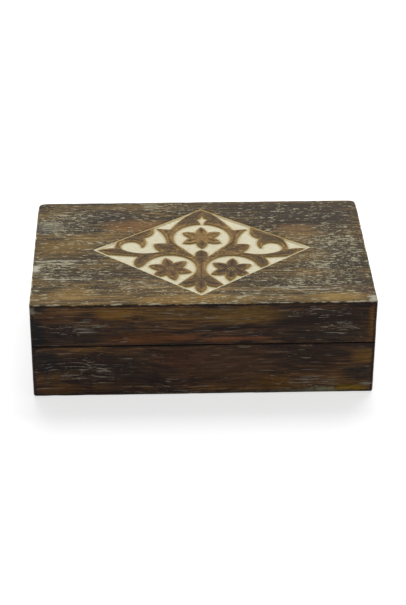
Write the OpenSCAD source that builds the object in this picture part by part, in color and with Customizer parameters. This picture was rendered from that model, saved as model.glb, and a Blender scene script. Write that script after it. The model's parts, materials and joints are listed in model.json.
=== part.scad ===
// Carved wooden dice box with a hinged lid, in millimetres.
// X runs along the front, Y from front to back and Z up.
// The origin is the middle of the underside.

/* [Box] */
// Length of the box along its front
box_length = 203.2; // [180:0.1:240]
// Depth of the box from front to back
box_depth = 127; // [120:0.5:150]
// Height of the base, floor plank included
base_height = 35; // [28:0.5:60]
// Height of the lid, top plank included
lid_height = 28.5; // [24:0.5:40]
// Thickness of the front, back and side boards
wall = 9.5; // [9.2:0.1:12]
// Thickness of the floor plank
floor_plank = 8; // [5:0.5:12]
// Thickness of the carved top plank
top_plank = 10; // [6:0.5:14]
// Rounding of the four upright corners
corner_radius = 1.5; // [0.5:0.1:4]
// Gap between the lid and the base at the seam
seam_gap = 0.3; // [0.1:0.05:0.6]

/* [Lining] */
// Thickness of the felt on the floor
felt_thick = 1.2; // [0.8:0.1:3]
// Gap between the felt's edge and the boards
felt_margin = 0.6; // [0.2:0.1:2]

/* [Hinges] */
// Length of a hinge along its pin
hinge_length = 25; // [22:1:40]
// Distance from the middle of the box to the middle of each hinge
hinge_offset = 58; // [40:1:68]
// Thickness of a hinge leaf
leaf_thick = 1; // [0.8:0.1:1.2]
// Reach of a leaf into its board from the back of the box
leaf_reach = 7.6; // [6.5:0.1:8]
// Diameter of the hinge pin
pin_d = 2; // [1.6:0.1:2.4]
// Wall of a knuckle round the pin
knuckle_wall = 1; // [0.8:0.1:1.4]
// Number of knuckles on a hinge
knuckles = 5; // [3:2:7]
// Gap between the knuckles and the back of the box
knuckle_gap = 0.3; // [0.2:0.05:1]
// Gap between two neighbouring knuckles
knuckle_play = 0.2; // [0.1:0.05:0.4]
// Play round the pin in its knuckles
pin_play = 0.05; // [0.02:0.01:0.08]
// Diameter of the peened heads of the pin
pin_head_d = 3; // [2.6:0.1:3.4]
// Height of the peened heads of the pin
pin_head_h = 0.6; // [0.4:0.1:1]
// Play round a leaf in its mortise
mortise_play = 0.1; // [0.05:0.05:0.3]

/* [Screws] */
// Diameter of a screw's shank
screw_d = 1.8; // [1.4:0.1:2.2]
// Length of a screw from the face of its head to its point
screw_length = 8; // [6:0.5:10]
// Length of a screw's pointed end
screw_point = 1.8; // [1:0.1:3]
// Distance between the two screws of a leaf
screw_spacing = 15; // [10:0.5:16]
// Width and depth of the slot in a screw's head
screw_slot = 0.5; // [0.4:0.05:0.7]
// Play round a screw in its hole
screw_play = 0.05; // [0.02:0.01:0.1]

/* [Carving] */
// Width of the carved diamond from corner to corner
carving_width = 134; // [110:1:145]
// Depth of the carved ground below the top
carving_deep = 1.5; // [1:0.1:3]
// Thickness of the lime paint that fills the carved ground
lime_thick = 0.4; // [0.2:0.1:0.6]
// Width of the groove that runs all round inside the diamond
rim_groove = 1.1; // [0.5:0.1:1.5]
// Lean of the ornament inside the diamond, which was cut by hand
lean = -2.2; // [-4:0.1:4]

/* [Hidden] */
$fn = 48;

box_height = base_height + lid_height;
// Faces of the base and of the lid at the seam
base_rim = base_height - seam_gap / 2;
lid_rim = base_height + seam_gap / 2;
// Underside of the top plank
plank_z = box_height - top_plank;

knuckle_r = pin_d / 2 + knuckle_wall;
pin_bore = pin_d + 2 * pin_play;
knuckle_pitch = hinge_length / knuckles;
axis_y = box_depth / 2 + knuckle_gap + knuckle_r;
axis_z = base_height;
leaf_y = box_depth / 2 - leaf_reach;
screw_y = box_depth / 2 - leaf_reach / 2;
screw_head_d = screw_d + 2 * leaf_thick;
screw_hole_d = screw_d + 2 * screw_play;

// Millimetres of the carving as drawn, for the carving's present width
carving_unit = carving_width / 134;
// Points on each arc of an outline
arc_steps = 8;
// Share of a circle's radius at which a line that runs down from it starts
touch_depth = 0.985;
// Corners of the diamond: left, bottom, right, top
diamond = [[-66, 2.3], [-1.2, -54], [68, 2.4], [1.9, 54]];
diamond_middle = [0.6, 0];
// Distance from the middle of the diamond to its edges, as drawn
diamond_reach = 42;
// Rings of the ornament: middle, radius and pointed foot
top_ring = [0, 16.5];
top_ring_r = 17.8;
top_ring_foot = [4.5, -7.2];
side_ring = [18.7, -21.3];
side_ring_r = 16.1;
side_ring_foot = [14, -42];
scroll = [43.3, 4.8];
scroll_r = 6.5;
// Height by which the end leaf on the right lies over the one on the left, halved
tip_lift = 2.2;
// Upper ends of the strips beside the top of the diamond
right_strip_end = [[1.2, 53.6, -0.9]];
left_strip_end = [[0.9, 53.9, 0], [10.4, 42.9, -0.6]];
flower_r = 13.2;
flower_disc_r = 2.4;
petal_half = 3.3;
petals = 6;

wood_dark = "#4b3626";
wood_top = "#6b533a";
lime = "#e6dfc4";
felt_green = "#2f4a34";
brass = "#a8873f";

// Ornament: geometry

// Points along the arc from a to b, without b. It bows by bow to the right of that way.
function arc(a, b, bow) =
    abs(bow) < 0.01 ? [a] :
    let (
        chord = norm(b - a),
        right = [b[1] - a[1], a[0] - b[0]] / chord,
        radius = (chord * chord / 4 + bow * bow) / (2 * bow),
        middle = (a + b) / 2 + right * (bow - radius),
        sweep = 2 * asin(chord / 2 / radius),
        start = a - middle
    )
    [for (i = [0:arc_steps - 1]) let (t = sweep * i / arc_steps)
        middle + [start[0] * cos(t) - start[1] * sin(t), start[0] * sin(t) + start[1] * cos(t)]];

// Outline through corners of [x, y, bow], where bow belongs to the side that follows
function outline(corners) =
    [for (i = [0:len(corners) - 1]) let (a = corners[i], b = corners[(i + 1) % len(corners)])
        each arc([a[0], a[1]], [b[0], b[1]], a[2])];

// Point where the line from p touches the circle, on its left (-1) or right (1).
// It lies a hair inside the circle, so that the line crosses the circle's edge.
function touch(middle, r, p, side) =
    let (
        way = p - middle,
        angle = atan2(way[1], way[0]) + side * acos(r / norm(way))
    )
    middle + touch_depth * r * [cos(angle), sin(angle)];

// Ornament: shapes

// Circle drawn down to a foot
module ring_ground(middle, r, foot) {
    translate(middle) circle(r, $fn = 96);
    polygon([middle, touch(middle, r, foot, -1), foot, touch(middle, r, foot, 1)]);
}

// Ground inside the top ring, with the bud that rises into it
module top_ring_ground() {
    difference() {
        union() {
            translate(top_ring) circle(top_ring_r, $fn = 96);
            polygon([
                top_ring,
                touch(top_ring, top_ring_r, [-top_ring_foot[0], top_ring_foot[1]], -1),
                [-top_ring_foot[0], top_ring_foot[1]],
                top_ring_foot,
                touch(top_ring, top_ring_r, top_ring_foot, 1)
            ]);
        }
        polygon(outline([[0, 0.4, 1.3], [-3.6, -5, 0.2], [-3.8, -9, 0], [3.8, -9, 0.2], [3.6, -5, 1.3]]));
    }
}

// Ground inside a lower ring, open towards the tip of the hooked leaf
module side_ring_ground() {
    ring_ground(side_ring, side_ring_r, side_ring_foot);
    polygon(outline([[33.6, -15.5, 0], [33, -25, 0], [38, -34, 0], [38, -20.5, -0.4]]));
}

// Large patch beside the top ring, which runs round the thorn, the leaf and the scroll
module scroll_ground() {
    translate(scroll) circle(scroll_r);
    polygon(outline([
        [27.8, 27.6, 1.9], [21.5, 8.3, -0.6], [29.2, 7.8, -1.4], [24, -1.2, 2.9], [46, -1.2, 0],
        [36.8, 4.8, -0.5], [35.7, 5.3, -1.5], [36.2, 16.2, -2.3], [30.3, 26.2, 0],
        [30.6, 34, 0], [28.2, 34, 0]
    ]));
}

// Strip along the diamond's upper edge, from the thorn to the corners given for its upper end
module upper_strip(end) {
    polygon(outline([
        [27.8, 27.6, 0], [30.6, 34, 0], [30.6, 58, 0], [end[0][0], 58, 0], each end, [19.4, 26.5, 0.3]
    ]));
}

// Patch over the end leaf
module corner_ground(lift) {
    polygon(outline([
        [53.2, 2.2, -0.9], [63.5, 1.2 + lift, 0], [74, 1.2 + lift, 0], [74, 26, 0], [50.3, 15, -0.5]
    ]));
}

// Patch under the stem, from the hooked leaf to the end leaf
module stem_ground(lift) {
    polygon(outline([
        [36.8, -7.2, -3.2], [38, -20.5, 0], [38, -34, 0], [74, -12, 0], [74, 1.2 + lift, 0],
        [63.5, 1.2 + lift, -0.5], [56, -5, 0]
    ]));
}

// Patch at the foot, between the bottom bud and the flared leaf of the trunk
module foot_ground() {
    polygon(outline([[2.4, -39.4, -1.9], [0, -49.7, 0], [0, -62, 0], [22, -52, 0], [12.8, -42, -2.2]]));
}

// Flame over the top ring
module flame_ground() {
    polygon(outline([
        [-1.3, 32, 0], [1.3, 32, 0], [1.2, 35, -0.4], [4.6, 41.6, -0.4], [1.4, 42.2, -0.3],
        [0, 47.6, -0.3], [-1.4, 42.2, -0.4], [-4.4, 40.6, -0.4], [-1.2, 35, 0]
    ]));
}

// Flower of pointed petals
module flower(turn) {
    rotate(turn) {
        circle(flower_disc_r);
        for (i = [0:petals - 1])
            rotate(i * 360 / petals)
                polygon(outline([
                    [0, 0, 0.4], [petal_half, 6.2, 0.8], [0, flower_r, 0.8], [-petal_half, 6.2, 0.4]
                ]));
    }
}

module half_ground(lift, strip_end) {
    side_ring_ground();
    scroll_ground();
    upper_strip(strip_end);
    corner_ground(lift);
    stem_ground(lift);
    foot_ground();
}

module diamond_outline(inset) {
    polygon([for (p = diamond) diamond_middle + (p - diamond_middle) * (1 - inset / diamond_reach)]);
}

// All that is cut away: the patches, without the flowers, and the groove round them
module carved_ground() {
    scale(carving_unit) {
        difference() {
            diamond_outline(0);
            diamond_outline(rim_groove / carving_unit);
        }
        intersection() {
            diamond_outline(rim_groove / carving_unit / 2);
            translate(diamond_middle) rotate(lean)
                difference() {
                    union() {
                        top_ring_ground();
                        flame_ground();
                        half_ground(tip_lift, right_strip_end);
                        mirror([1, 0]) half_ground(-tip_lift, left_strip_end);
                    }
                    translate(top_ring) flower(2);
                    translate(side_ring - [0.6, 1.1]) flower(-4);
                    translate([-side_ring[0], side_ring[1] - 1.1]) flower(14);
                }
        }
    }
}

// Boards

// Plan of the whole box with its rounded corners
module box_plan() {
    square([box_length - 2 * corner_radius, box_depth], center = true);
    square([box_length, box_depth - 2 * corner_radius], center = true);
    for (x = [-1, 1], y = [-1, 1])
        translate([x * (box_length / 2 - corner_radius), y * (box_depth / 2 - corner_radius)])
            circle(corner_radius, $fn = 32);
}

// Long board at the front (-1) or back (1), over the whole length of the box
module long_board(side, z, h) {
    translate([0, 0, z]) linear_extrude(h)
        intersection() {
            box_plan();
            translate([0, side * (box_depth - wall) / 2]) square([box_length + 2, wall], center = true);
        }
}

// Side board at the left (-1) or right (1), between the long boards
module side_board(side, z, h) {
    translate([side * (box_length - wall) / 2, 0, z + h / 2])
        cube([wall, box_depth - 2 * wall, h], center = true);
}

// Mortises and screw holes for both hinges in a back board, which lies on the side up of the seam
module hinge_seats(up) {
    for (x = [-1, 1])
        translate([x * hinge_offset, 0, axis_z + up * seam_gap / 2])
            mirror([0, 0, up < 0 ? 1 : 0]) {
                translate([-hinge_length / 2 - mortise_play, leaf_y - mortise_play, -1])
                    cube([hinge_length + 2 * mortise_play, leaf_reach + mortise_play + 1, leaf_thick + 1]);
                for (s = [-1, 1])
                    translate([s * screw_spacing / 2, screw_y, 0]) {
                        cylinder(d = screw_hole_d, h = screw_length - screw_point);
                        translate([0, 0, screw_length - screw_point])
                            cylinder(d1 = screw_hole_d, d2 = 2 * screw_play, h = screw_point + screw_play);
                    }
            }
}

// Hinges

// Leaf with its knuckles, lying on the side up of the seam. Knuckles start at the one named first.
module hinge_leaf(x, up, first) {
    edge = axis_z + up * seam_gap / 2;
    translate([x, 0, 0])
        difference() {
            union() {
                translate([-hinge_length / 2, leaf_y, min(edge, edge + up * leaf_thick)])
                    cube([hinge_length, leaf_reach, leaf_thick]);
                for (i = [first:2:knuckles - 1])
                    translate([-hinge_length / 2 + i * knuckle_pitch, 0, 0]) {
                        own = knuckle_pitch - (i < knuckles - 1 ? knuckle_play : 0);
                        translate([0, box_depth / 2 - 1, min(edge, edge + up * leaf_thick)])
                            cube([own, axis_y - box_depth / 2 + 1, leaf_thick]);
                        translate([0, axis_y, axis_z]) rotate([0, 90, 0])
                            cylinder(r = knuckle_r, h = own);
                    }
            }
            translate([-hinge_length, axis_y, axis_z]) rotate([0, 90, 0])
                cylinder(d = pin_bore, h = 2 * hinge_length);
            for (s = [-1, 1])
                translate([s * screw_spacing / 2, screw_y, edge])
                    mirror([0, 0, up < 0 ? 1 : 0])
                        cylinder(d1 = screw_head_d + 2 * screw_play, d2 = screw_hole_d, h = leaf_thick);
        }
}

// Pin with a peened head at each end
module hinge_pin(x) {
    translate([x - hinge_length / 2, axis_y, axis_z]) rotate([0, 90, 0]) {
        cylinder(d = pin_d, h = hinge_length);
        translate([0, 0, -pin_head_h]) cylinder(d1 = pin_d, d2 = pin_head_d, h = pin_head_h);
        translate([0, 0, hinge_length]) cylinder(d1 = pin_head_d, d2 = pin_d, h = pin_head_h);
    }
}

// Countersunk screw with its head's face at z = 0 and its point up
module screw() {
    difference() {
        union() {
            cylinder(d1 = screw_head_d, d2 = screw_d, h = leaf_thick);
            translate([0, 0, leaf_thick]) cylinder(d = screw_d, h = screw_length - leaf_thick - screw_point);
            translate([0, 0, screw_length - screw_point]) cylinder(d1 = screw_d, d2 = 0.1, h = screw_point);
        }
        translate([-screw_head_d, -screw_slot / 2, -1]) cube([2 * screw_head_d, screw_slot, 1 + screw_slot]);
    }
}

// The four screws that hold both leaves on the side up of the seam
module hinge_screws(up) {
    for (x = [-1, 1], s = [-1, 1])
        translate([x * hinge_offset + s * screw_spacing / 2, screw_y, axis_z + up * seam_gap / 2])
            mirror([0, 0, up < 0 ? 1 : 0])
                rotate(30 + 40 * x + 25 * s) screw();
}

// Base

module base_front_board() {
    color(wood_dark) long_board(-1, floor_plank, base_rim - floor_plank);
}

module base_back_board() {
    color(wood_dark) difference() {
        long_board(1, floor_plank, base_rim - floor_plank);
        hinge_seats(-1);
    }
}

module base_left_board() {
    color(wood_dark) side_board(-1, floor_plank, base_rim - floor_plank);
}

module base_right_board() {
    color(wood_dark) side_board(1, floor_plank, base_rim - floor_plank);
}

module base_floor_plank() {
    color(wood_dark) linear_extrude(floor_plank) box_plan();
}

module base_felt_liner() {
    inset = 2 * (wall + felt_margin);
    color(felt_green) translate([0, 0, floor_plank + felt_thick / 2])
        cube([box_length - inset, box_depth - inset, felt_thick], center = true);
}

module left_hinge_base_leaf() {
    color(brass) hinge_leaf(-hinge_offset, -1, 0);
}

module right_hinge_base_leaf() {
    color(brass) hinge_leaf(hinge_offset, -1, 0);
}

module left_hinge_pin() {
    color(brass) hinge_pin(-hinge_offset);
}

module right_hinge_pin() {
    color(brass) hinge_pin(hinge_offset);
}

module base_hinge_screws() {
    color(brass) hinge_screws(-1);
}

// Lid

module lid_top_plank() {
    color(wood_top) difference() {
        translate([0, 0, plank_z]) linear_extrude(top_plank) box_plan();
        translate([0, 0, box_height - carving_deep]) linear_extrude(carving_deep + 1) carved_ground();
    }
}

module carving_lime_paint() {
    color(lime) translate([0, 0, box_height - carving_deep]) linear_extrude(lime_thick) carved_ground();
}

module lid_front_board() {
    color(wood_dark) long_board(-1, lid_rim, plank_z - lid_rim);
}

module lid_back_board() {
    color(wood_dark) difference() {
        long_board(1, lid_rim, plank_z - lid_rim);
        hinge_seats(1);
    }
}

module lid_left_board() {
    color(wood_dark) side_board(-1, lid_rim, plank_z - lid_rim);
}

module lid_right_board() {
    color(wood_dark) side_board(1, lid_rim, plank_z - lid_rim);
}

module left_hinge_lid_leaf() {
    color(brass) hinge_leaf(-hinge_offset, 1, 1);
}

module right_hinge_lid_leaf() {
    color(brass) hinge_leaf(hinge_offset, 1, 1);
}

module lid_hinge_screws() {
    color(brass) hinge_screws(1);
}

base_front_board();
base_back_board();
base_left_board();
base_right_board();
base_floor_plank();
base_felt_liner();
left_hinge_base_leaf();
right_hinge_base_leaf();
left_hinge_pin();
right_hinge_pin();
base_hinge_screws();
lid_top_plank();
carving_lime_paint();
lid_front_board();
lid_back_board();
lid_left_board();
lid_right_board();
left_hinge_lid_leaf();
right_hinge_lid_leaf();
lid_hinge_screws();
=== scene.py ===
# %% [markdown]
# # A carved wooden dice box with a hinged lid
# The real box is a flat block of stained mango wood, cut in two at a dark seam. Its lid swings up on
# two small brass hinges at the back, and a diamond of scrolls and flowers is carved into the top.
# The carved ground is filled with cream lime paint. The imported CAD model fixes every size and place,
# so it is loaded first, and each piece made here stands exactly where its solid stands.

# %% Load the frame
import json
import math

import bmesh
import bpy
import numpy as np
from mathutils import Matrix, Vector, noise

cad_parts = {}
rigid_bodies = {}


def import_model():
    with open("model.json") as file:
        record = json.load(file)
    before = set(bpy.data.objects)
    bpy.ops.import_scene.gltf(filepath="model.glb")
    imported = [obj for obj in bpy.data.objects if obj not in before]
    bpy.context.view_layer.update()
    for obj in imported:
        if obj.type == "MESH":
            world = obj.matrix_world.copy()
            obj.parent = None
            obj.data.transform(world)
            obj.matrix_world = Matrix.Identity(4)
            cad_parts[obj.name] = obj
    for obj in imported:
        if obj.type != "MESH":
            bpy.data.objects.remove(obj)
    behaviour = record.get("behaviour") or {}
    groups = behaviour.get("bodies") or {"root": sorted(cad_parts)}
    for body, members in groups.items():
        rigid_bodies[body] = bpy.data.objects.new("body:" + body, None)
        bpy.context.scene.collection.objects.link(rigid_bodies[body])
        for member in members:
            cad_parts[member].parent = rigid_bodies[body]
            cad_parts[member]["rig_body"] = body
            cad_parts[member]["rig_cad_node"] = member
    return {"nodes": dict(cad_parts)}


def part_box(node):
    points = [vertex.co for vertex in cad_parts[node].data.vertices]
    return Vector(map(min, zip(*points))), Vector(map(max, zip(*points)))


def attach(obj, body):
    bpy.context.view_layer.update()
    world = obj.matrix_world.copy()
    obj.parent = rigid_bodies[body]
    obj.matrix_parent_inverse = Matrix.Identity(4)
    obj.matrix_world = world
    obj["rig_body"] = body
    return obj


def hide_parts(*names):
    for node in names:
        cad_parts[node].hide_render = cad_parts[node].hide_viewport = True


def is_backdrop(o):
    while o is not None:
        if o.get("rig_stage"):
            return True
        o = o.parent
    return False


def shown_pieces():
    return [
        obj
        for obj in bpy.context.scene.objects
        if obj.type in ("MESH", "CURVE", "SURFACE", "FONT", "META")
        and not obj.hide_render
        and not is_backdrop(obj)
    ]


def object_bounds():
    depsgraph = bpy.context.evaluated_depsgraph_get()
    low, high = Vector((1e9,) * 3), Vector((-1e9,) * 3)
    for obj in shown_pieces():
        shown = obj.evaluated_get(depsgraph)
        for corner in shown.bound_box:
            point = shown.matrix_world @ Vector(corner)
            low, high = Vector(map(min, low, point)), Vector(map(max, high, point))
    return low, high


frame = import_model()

MM = 0.001
nodes = frame["nodes"]
cad_bounds = [[float(n) for n in corner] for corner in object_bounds()]
half_x = cad_bounds[1][0]
half_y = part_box("base_floor_plank")[1].y
top_z = cad_bounds[1][2]
base_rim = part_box("base_front_board")[1].z
lid_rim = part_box("lid_front_board")[0].z
seam_z = (base_rim + lid_rim) / 2
size_mm = [round(n / MM, 2) for n in (2 * half_x, 2 * half_y, top_z)]
print("box in mm:", size_mm, "seam at", round(seam_z / MM, 2))

# %% [markdown]
# ## The camera
# The box was photographed from the front, a little above it and with a long lens, so its upright
# edges stay almost parallel. The lens and the three angles below were found by matching the box's
# corners and its seam to the picture. A camera turned by those three angles needs no tracking.

# %% Camera
camera_yaw = math.radians(2.092)
camera_pitch = math.radians(30.939)
camera_roll = math.radians(-0.297)
camera_place = Vector((-33.04, -950.01, 595.86)) * MM

bpy.ops.object.camera_add()
camera = bpy.context.object
camera.data.sensor_width = 36
camera.data.lens = 105.97
camera.data.clip_start = 0.01
camera.data.clip_end = 50
turn = Matrix.Rotation(-camera_yaw, 4, "Z")
turn @= Matrix.Rotation(math.pi / 2 - camera_pitch, 4, "X")
turn @= Matrix.Rotation(-camera_roll, 4, "Z")
camera.matrix_world = Matrix.Translation(camera_place) @ turn
bpy.context.scene.camera = camera
print("camera stands", round(camera_place.length, 3), "m from the box")

# %% [markdown]
# ## Tools for modelling
# Every board starts as a primitive and is shaped in edit mode, as by hand. An operator acts on all
# that is selected, so each helper first clears the selection and then picks points, edges or faces
# by a rule about their place. That is slower than picking by number, but it works at any size.

# %% Helpers that select and shape
def hold(piece):
    """Selects one piece alone and makes it the active one."""
    bpy.ops.object.select_all(action="DESELECT")
    piece.select_set(True)
    bpy.context.view_layer.objects.active = piece


def edit(piece):
    """Enters edit mode on one piece."""
    hold(piece)
    bpy.ops.object.mode_set(mode="EDIT")


def leave_edit():
    bpy.ops.object.mode_set(mode="OBJECT")


def pick(piece, kind, wanted):
    """In edit mode, selects the points, edges or faces for which wanted holds, and nothing else."""
    bpy.ops.mesh.select_mode(type=kind)
    bpy.ops.mesh.select_all(action="DESELECT")
    shape = bmesh.from_edit_mesh(piece.data)
    parts = {"VERT": shape.verts, "EDGE": shape.edges, "FACE": shape.faces}[kind]
    parts.index_update()
    for part in parts:
        part.select_set(bool(wanted(part)))
    bmesh.update_edit_mesh(piece.data)


def apply_all(piece):
    """Applies the modifiers of a piece, from the first to the last."""
    hold(piece)
    for modifier in list(piece.modifiers):
        bpy.ops.object.modifier_apply(modifier=modifier.name)


def smooth(piece, degrees=35):
    hold(piece)
    bpy.ops.object.shade_smooth_by_angle(angle=math.radians(degrees))


def triangles(piece):
    """Number of triangles of a finished piece."""
    piece.data.calc_loop_triangles()
    return len(piece.data.loop_triangles)


# %% Helpers that make blocks and sheets
def block(name, low, high):
    """A cube from one corner to the other, with its place in its mesh."""
    bpy.ops.object.select_all(action="DESELECT")
    bpy.ops.mesh.primitive_cube_add(size=1, location=(low + high) / 2, scale=high - low)
    piece = bpy.context.object
    piece.name = name
    bpy.ops.object.transform_apply(location=True, rotation=True, scale=True)
    return piece


def flat_grid(name, middle, size, cells):
    """A flat grid round a middle point, with its place in its mesh."""
    bpy.ops.object.select_all(action="DESELECT")
    bpy.ops.mesh.primitive_grid_add(
        x_subdivisions=cells[0], y_subdivisions=cells[1], size=1, location=middle)
    sheet = bpy.context.object
    sheet.name = name
    sheet.scale = (*size, 1)
    bpy.ops.object.transform_apply(location=True, rotation=True, scale=True)
    return sheet


def thicken(sheet, thickness):
    """Gives a sheet its thickness, downwards from its top."""
    skin = sheet.modifiers.new("thickness", "SOLIDIFY")
    skin.thickness = thickness
    skin.offset = -1
    apply_all(sheet)


# %% [markdown]
# ## Tools for finishes
# A finish is a tree of nodes. Written out, each node takes four lines, so a small bench keeps the
# tree and gives back the output of every node that it adds. Patterns are placed by Object coordinates
# in millimetres, so a number in a finish is a size on the real box.

# %% Colours and nodes
def tone(red, green, blue):
    """A colour as a painter reads it from a swatch, 0 to 255, made linear for the shader."""
    levels = [level / 255 for level in (red, green, blue)]
    return tuple(n / 12.92 if n <= 0.04045 else ((n + 0.055) / 1.055) ** 2.4 for n in levels) + (1,)


class Nodes:
    """The nodes of a material or a world. Each call adds a node and returns one of its outputs."""

    def __init__(self, owner):
        owner.use_nodes = True
        self.tree = owner.node_tree

    def put(self, value, socket):
        """Links a node's output to a socket, or sets the socket to a constant."""
        if isinstance(value, bpy.types.NodeSocket):
            self.tree.links.new(value, socket)
        else:
            socket.default_value = value

    def add(self, kind, inputs, output=0, **settings):
        node = self.tree.nodes.new("ShaderNode" + kind)
        for key, value in settings.items():
            setattr(node, key, value)
        for key, value in inputs.items():
            self.put(value, node.inputs[key])
        return node.outputs[output]

    def math(self, operation, a, b=0.0):
        return self.add("Math", {0: a, 1: b}, operation=operation)

    def plus(self, a, b):
        return self.math("ADD", a, b)

    def minus(self, a, b):
        return self.math("SUBTRACT", a, b)

    def times(self, a, b):
        return self.math("MULTIPLY", a, b)

    def swing(self, value, noise, amount):
        """A value that a noise moves up and down by as much as half the amount."""
        return self.plus(value, self.times(self.minus(noise, 0.5), amount))

    def weigh(self, *parts):
        """Sum of values, each given as (weight, value)."""
        total = 0.0
        for weight, value in parts:
            total = self.plus(total, self.times(value, weight))
        return total

    def vector(self, operation, a, b, output=0):
        return self.add("VectorMath", {0: a, 1: b}, output, operation=operation)

    def scale(self, place, factors):
        return self.vector("MULTIPLY", place, factors)

    def apart(self, place):
        """The X, Y and Z of a vector."""
        return self.add("SeparateXYZ", {0: place}).node.outputs


# %% The finish bench
class Bench(Nodes):
    """A material in the making, with its coordinates in mm at hand."""

    def __init__(self, name):
        self.material = bpy.data.materials.new(name)
        super().__init__(self.material)
        self.place = self.scale(self.add("TexCoord", {}, "Object"), (1000, 1000, 1000))
        self.x, self.y, self.z = self.apart(self.place)

    def noise(self, place, scale, detail=2.0, roughness=0.5):
        inputs = {"Vector": place, "Scale": scale, "Detail": detail, "Roughness": roughness}
        return self.add("TexNoise", inputs)

    def fibres(self, place, along, across, detail, roughness):
        """Noise in streaks that are 1 / along mm long and 1 / across mm wide."""
        return self.noise(self.scale(place, (along, across, across)), 1.0, detail, roughness)

    def step(self, value, low, high, bottom=0.0, top=1.0):
        """Rises softly from bottom to top while value goes from low to high."""
        inputs = {0: value, 1: low, 2: high, 3: bottom, 4: top}
        return self.add("MapRange", inputs, interpolation_type="SMOOTHSTEP")

    def mix(self, share, a, b, blend="MIX"):
        inputs = {0: share, 6: a, 7: b}
        return self.add("Mix", inputs, 2, data_type="RGBA", blend_type=blend)

    def ramp(self, value, stops):
        """Colours along a value, as (value, swatch) stops in rising order."""
        scale = self.add("ValToRGB", {0: value})
        elements = scale.node.color_ramp.elements
        while len(elements) < len(stops):
            elements.new(0.5)
        for element, (at, swatch) in zip(elements, stops):
            element.position = at
            element.color = tone(*swatch)
        return scale

    def attribute(self, name):
        return self.add("Attribute", {}, "Fac", attribute_name=name)

    def bump(self, height, distance_mm, strength):
        inputs = {"Height": height, "Distance": distance_mm * MM, "Strength": strength}
        return self.add("Bump", inputs)

    def finish(self, **sockets):
        """Links or sets the shader's own sockets and gives back the material."""
        shader = self.tree.nodes["Principled BSDF"]
        for key, value in sockets.items():
            self.put(value, shader.inputs[key.replace("_", " ")])
        return self.material


# %% Patches
def on_top(rows, deep):
    """Places (x, y, reach x, reach y, ...) on the top face, as (middle, reach, ...)."""
    return [((x, y, top_z / MM), (across, back, deep), *rest) for x, y, across, back, *rest in rows]


def on_front(rows, deep=6):
    """Places (x, z, reach x, reach z, ...) on the front face, as (middle, reach, ...)."""
    return [((x, -half_y / MM, z), (across, deep, up), *rest) for x, z, across, up, *rest in rows]


def patch(bench, middle, reach, ragged):
    """1 in the middle of a soft patch, 0 outside it. Ragged is a noise that breaks its edge."""
    away = bench.vector("DIVIDE", bench.vector("SUBTRACT", bench.place, middle), reach)
    length = bench.vector("LENGTH", away, (0, 0, 0), "Value")
    return bench.step(bench.plus(length, bench.times(ragged, 1.1)), 1.75, 0.95)


def lay_patches(bench, colour, rows, ragged):
    """Lays patches over a colour, each given as (middle, reach, swatch, strength)."""
    for middle, reach, swatch, strength in rows:
        share = bench.times(patch(bench, middle, reach, ragged), strength)
        colour = bench.mix(share, colour, tone(*swatch))
    return colour


# %% [markdown]
# ## Stained wood with wax in its pores
# The real wood was stained dark, rubbed back and limed: white wax stayed in the long open pores and
# in scratches, and golden wood shows where the stain is thin. Layers do this best: fibres first,
# then broad stain, then named worn places, then wax dashes cut from a stretched noise, and last the
# paler edges round the top, partly wear and partly painted highlight. A stretched noise gives long
# dashes on a face and small dots on the end grain, as pores do, so one finish is right on all sides
# of a board.

# %% Layers of the wood
# Each layer is a noise: waves per mm along and across the grain, detail and roughness.
broad_stain = (0.013, 0.07, 3, 0.55)
stain_bands = (0.018, 0.75, 3, 0.6)
fine_threads = (0.05, 1.5, 3, 0.65)
open_pores = (0.3, 2.4, 2, 0.5)
ragged_edges = (0.09, 0.3, 4, 0.65)
torn_edges = (0.16, 0.9, 3, 0.7)
waxed_places = (0.03, 0.09, 3, 0.6)
wax_white = (176, 168, 148)
wax_cover = 0.88


def grain_lines(bench, grain, seed):
    """Coordinates in which the grain runs along X, drifting a little as a real board's does."""
    along, across = (bench.x, bench.y) if grain == "X" else (bench.y, bench.x)
    shifted = bench.vector("ADD", bench.place, seed)
    drift = bench.weigh((9, bench.noise(shifted, 0.014, 1)), (1.3, bench.noise(shifted, 0.05)))
    parts = {0: along, 1: bench.plus(across, drift), 2: bench.plus(bench.z, drift)}
    return bench.vector("ADD", bench.add("CombineXYZ", parts), seed)


def wax_dashes(bench, flat, ragged, waxy, level, along, across):
    """White wax left in long pores, thicker where waxy names a place as (middle, reach, strength)."""
    thick = bench.step(bench.fibres(flat, *waxed_places), 0.4, 0.7, 0, 0.06)
    for middle, reach, strength in waxy:
        thick = bench.plus(thick, bench.times(patch(bench, middle, reach, ragged), 0.12 * strength))
    dashes = 0
    # Long pores, short pores and dots: their waves and detail, where they start, are full, and how white.
    for shape, start, full, most in (
        ((along, across, 1), -0.02, 0.025, 1),
        ((2.8 * along, 1.2 * across, 1.5), 0.03, 0.075, 1),
        ((1.1, 1.7, 1.5), 0.03, 0.08, 0.85),
    ):
        wave = bench.plus(bench.fibres(flat, *shape, 0.5), thick)
        kind = bench.step(wave, level + start, level + full, 0, most)
        dashes = bench.math("MAXIMUM", dashes, kind)
    return bench.times(dashes, wax_cover)


# %% Pale edges, partly wear and partly painted highlight, and the seam
def side_gap(bench, nearest="MINIMUM"):
    """Distance in mm inwards from the nearest side of the box, or with MAXIMUM from its corners."""
    gap_x = bench.minus(half_x / MM, bench.math("ABSOLUTE", bench.x))
    gap_y = bench.minus(half_y / MM, bench.math("ABSOLUTE", bench.y))
    return bench.math(nearest, gap_x, gap_y)


def edge_gap(bench):
    """Distance in mm to the nearest outer edge of the box: upright, top or bottom."""
    side = side_gap(bench)
    top = bench.math("MAXIMUM", side, bench.minus(top_z / MM, bench.z))
    bottom = bench.math("MAXIMUM", side, bench.z)
    level = bench.math("MINIMUM", top, bottom)
    return bench.math("MINIMUM", side_gap(bench, "MAXIMUM"), level)


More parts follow.
